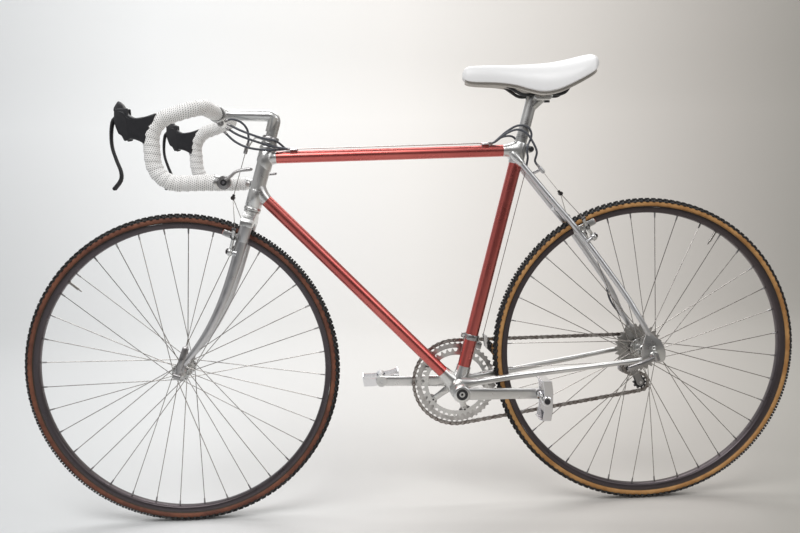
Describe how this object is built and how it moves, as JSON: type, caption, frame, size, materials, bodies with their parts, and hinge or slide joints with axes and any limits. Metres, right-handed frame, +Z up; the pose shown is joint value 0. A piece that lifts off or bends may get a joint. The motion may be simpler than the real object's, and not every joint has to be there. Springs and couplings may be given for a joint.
{
  "type": "bicycle",
  "caption": "cyclocross bicycle with bonded tube frame, cantilever brakes, drop bars, bar-end shifters and knobbed tyres",
  "frame": {"origin": "on the ground, midway between the axles, in the middle plane of the frame", "axes": "+X towards the rear wheel, +Y to the drive side (the rider's right), +Z up"},
  "size_m": [1.699, 0.449, 0.9913],
  "materials": {
    "polished_alloy": "bright polished alloy",
    "red_tube": "red anodised, satin gloss",
    "grey_alloy": "grey alloy, satin",
    "chromed_steel": "chromed steel",
    "dark_rim": "dark hard-anodised",
    "tyre_rubber": "matt rubber with tan sidewall",
    "hood_rubber": "matt black rubber",
    "black_plastic": "black, satin",
    "chain_steel": "used steel, lightly oiled",
    "white_cover": "smooth white cover",
    "white_tape": "white perforated wrap",
    "cable_housing": "dark grey sheath"
  },
  "bodies": {
    "frame": {"head_tube": "polished_alloy", "top_tube": "red_tube", "down_tube": "red_tube", "seat_tube": "red_tube", "seat_lug": "polished_alloy", "bb_shell": "polished_alloy", "seatstay_left": "polished_alloy", "seatstay_right": "polished_alloy", "chainstay_left": "polished_alloy", "chainstay_right": "polished_alloy", "front_derailleur_clamp": "grey_alloy", "brake_cable_rear": "cable_housing", "shift_cable_front": "cable_housing", "shift_cable_rear": "cable_housing", "chain": "chain_steel", "rear_skewer": "chromed_steel"},
    "seat": {"seatpost": "polished_alloy", "saddle_base": "black_plastic", "saddle_cover": "white_cover"},
    "steering": {"fork_crown": "polished_alloy", "fork_blade_left": "polished_alloy", "fork_blade_right": "polished_alloy", "stem": "polished_alloy", "handlebar": "polished_alloy", "bar_tape_left": "white_tape", "bar_tape_right": "white_tape", "brake_hood_left": "hood_rubber", "brake_hood_right": "hood_rubber", "shifter_pod_left": "polished_alloy", "shifter_pod_right": "polished_alloy", "headset_race": "polished_alloy", "brake_cable_front": "cable_housing", "front_skewer": "chromed_steel"},
    "lever_left": {"brake_lever_left": "black_plastic"},
    "lever_right": {"brake_lever_right": "black_plastic"},
    "shifter_left": {"shift_lever_left": "grey_alloy"},
    "shifter_right": {"shift_lever_right": "grey_alloy"},
    "front_wheel": {"front_tyre": "tyre_rubber", "front_rim": "dark_rim", "front_hub": "polished_alloy"},
    "rear_wheel": {"rear_tyre": "tyre_rubber", "rear_rim": "dark_rim", "rear_hub": "polished_alloy"},
    "sprockets": {"cassette": "chain_steel"},
    "crankset": {"crank_left": "polished_alloy", "crank_right": "polished_alloy", "chainring_outer": "polished_alloy"},
    "pedal_near": {"pedal_left": "chromed_steel"},
    "pedal_far": {"pedal_right": "chromed_steel"},
    "front_cam": {"front_quick_release": "grey_alloy"},
    "rear_cam": {"rear_quick_release": "grey_alloy"},
    "front_changer": {"front_derailleur_cage": "grey_alloy"},
    "rear_changer": {"rear_derailleur_body": "polished_alloy"},
    "chain_tensioner": {"rear_derailleur_cage": "polished_alloy"},
    "guide_wheel": {"guide_pulley": "black_plastic"},
    "tension_wheel": {"tension_pulley": "black_plastic"},
    "front_arm_left": {"brake_arm_front_left": "polished_alloy"},
    "front_arm_right": {"brake_arm_front_right": "polished_alloy"},
    "rear_arm_left": {"brake_arm_rear_left": "polished_alloy"},
    "rear_arm_right": {"brake_arm_rear_right": "polished_alloy"}
  },
  "joints": [
    {"name": "steering_turn", "type": "hinge", "parent": "frame", "child": "steering", "pos_m": [-0.33239, 0, 0.72211], "axis": [0.2957, 0, 0.9553], "range_deg": [-60, 60], "deforming": ["brake_cable_rear", "shift_cable_front", "shift_cable_rear"]},
    {"name": "seatpost_height", "type": "slide", "parent": "frame", "child": "seat", "axis": [0.2689, 0, 0.9632], "range_m": [-0.05, 0.03]},
    {"name": "brake_lever_left_pull", "type": "hinge", "parent": "steering", "child": "lever_left", "pos_m": [-0.55404, -0.2008, 0.86592], "axis": [0, -1, 0], "range_deg": [0, 18], "stiffness_Nm_per_rad": 0.5, "deforming": ["brake_cable_front"]},
    {"name": "brake_lever_right_pull", "type": "hinge", "parent": "steering", "child": "lever_right", "pos_m": [-0.55404, 0.2008, 0.86592], "axis": [0, -1, 0], "range_deg": [0, 18], "stiffness_Nm_per_rad": 0.5, "deforming": ["brake_cable_rear"]},
    {"name": "shift_lever_left_turn", "type": "hinge", "parent": "steering", "child": "shifter_left", "pos_m": [-0.36604, -0.2185, 0.73942], "axis": [0, 1, 0], "range_deg": [0, 75]},
    {"name": "shift_lever_right_turn", "type": "hinge", "parent": "steering", "child": "shifter_right", "pos_m": [-0.36604, 0.2185, 0.73942], "axis": [0, 1, 0], "range_deg": [0, 75]},
    {"name": "front_wheel_spin", "type": "hinge", "parent": "steering", "child": "front_wheel", "pos_m": [-0.5095, 0, 0.34], "axis": [0, 1, 0], "continuous": true},
    {"name": "rear_wheel_spin", "type": "hinge", "parent": "frame", "child": "rear_wheel", "pos_m": [0.5095, 0, 0.34], "axis": [0, 1, 0], "continuous": true},
    {"name": "crank_spin", "type": "hinge", "parent": "frame", "child": "crankset", "pos_m": [0.09174, 0, 0.273], "axis": [0, 1, 0], "continuous": true, "deforming": ["chain"]},
    {"name": "sprocket_spin", "type": "hinge", "parent": "frame", "child": "sprockets", "pos_m": [0.5095, 0, 0.34], "axis": [0, 1, 0], "continuous": true, "deforming": ["chain"]},
    {"name": "pedal_left_spin", "type": "hinge", "parent": "crankset", "child": "pedal_near", "pos_m": [0.26162, -0.1, 0.26677], "axis": [0, 1, 0], "continuous": true},
    {"name": "pedal_right_spin", "type": "hinge", "parent": "crankset", "child": "pedal_far", "pos_m": [-0.07815, 0.1, 0.27923], "axis": [0, 1, 0], "continuous": true},
    {"name": "front_cam_swing", "type": "hinge", "parent": "steering", "child": "front_cam", "pos_m": [-0.5095, -0.0709, 0.34], "axis": [0.9404, 0, -0.3401], "range_deg": [0, 150]},
    {"name": "rear_cam_swing", "type": "hinge", "parent": "frame", "child": "rear_cam", "pos_m": [0.5095, -0.0839, 0.34], "axis": [-0.3697, 0, 0.9292], "range_deg": [0, 150]},
    {"name": "front_changer_shift", "type": "slide", "parent": "frame", "child": "front_changer", "axis": [0, -1, 0], "range_m": [0, 0.00588], "deforming": ["chain", "shift_cable_front"]},
    {"name": "rear_changer_shift", "type": "slide", "parent": "frame", "child": "rear_changer", "axis": [0, -0.8, -0.6], "range_m": [0, 0.01177], "deforming": ["chain", "shift_cable_rear"]},
    {"name": "chain_tensioner_swing", "type": "hinge", "parent": "rear_changer", "child": "chain_tensioner", "pos_m": [0.5025, 0.0535, 0.292], "axis": [0, 1, 0], "range_deg": [-15, 40], "stiffness_Nm_per_rad": 0.4, "deforming": ["chain"]},
    {"name": "guide_pulley_spin", "type": "hinge", "parent": "chain_tensioner", "child": "guide_wheel", "pos_m": [0.5025, 0.0535, 0.292], "axis": [0, 1, 0], "continuous": true},
    {"name": "tension_pulley_spin", "type": "hinge", "parent": "chain_tensioner", "child": "tension_wheel", "pos_m": [0.5205, 0.0535, 0.253], "axis": [0, 1, 0], "continuous": true},
    {"name": "front_arm_left_close", "type": "hinge", "parent": "steering", "child": "front_arm_left", "pos_m": [-0.3734, -0.0405, 0.59049], "axis": [-0.9553, 0, 0.2957], "range_deg": [0, 2.8], "deforming": ["brake_cable_front"]},
    {"name": "front_arm_right_close", "type": "hinge", "parent": "steering", "child": "front_arm_right", "pos_m": [-0.3734, 0.0405, 0.59049], "axis": [0.9553, 0, -0.2957], "range_deg": [0, 2.8], "deforming": ["brake_cable_front"]},
    {"name": "rear_arm_left_close", "type": "hinge", "parent": "frame", "child": "rear_arm_left", "pos_m": [0.37298, -0.0405, 0.59037], "axis": [-0.8226, 0, -0.5686], "range_deg": [0, 2.8], "deforming": ["brake_cable_rear"]},
    {"name": "rear_arm_right_close", "type": "hinge", "parent": "frame", "child": "rear_arm_right", "pos_m": [0.37298, 0.0405, 0.59037], "axis": [0.8226, 0, 0.5686], "range_deg": [0, 2.8], "deforming": ["brake_cable_rear"]}
  ],
  "couplings": [
    {"joint": "front_arm_left_close", "follows": "brake_lever_left_pull", "ratio": 0.145},
    {"joint": "front_arm_right_close", "follows": "brake_lever_left_pull", "ratio": 0.145},
    {"joint": "rear_arm_left_close", "follows": "brake_lever_right_pull", "ratio": 0.145},
    {"joint": "rear_arm_right_close", "follows": "brake_lever_right_pull", "ratio": 0.145},
    {"joint": "sprocket_spin", "follows": "crank_spin", "ratio": 3.6923},
    {"joint": "guide_pulley_spin", "follows": "crank_spin", "ratio": -4.8},
    {"joint": "tension_pulley_spin", "follows": "crank_spin", "ratio": 4.8},
    {"joint": "shift_lever_left_turn", "follows": "front_changer_shift", "rad_per_m": 222.22},
    {"joint": "shift_lever_right_turn", "follows": "rear_changer_shift", "rad_per_m": 111.11}
  ]
}
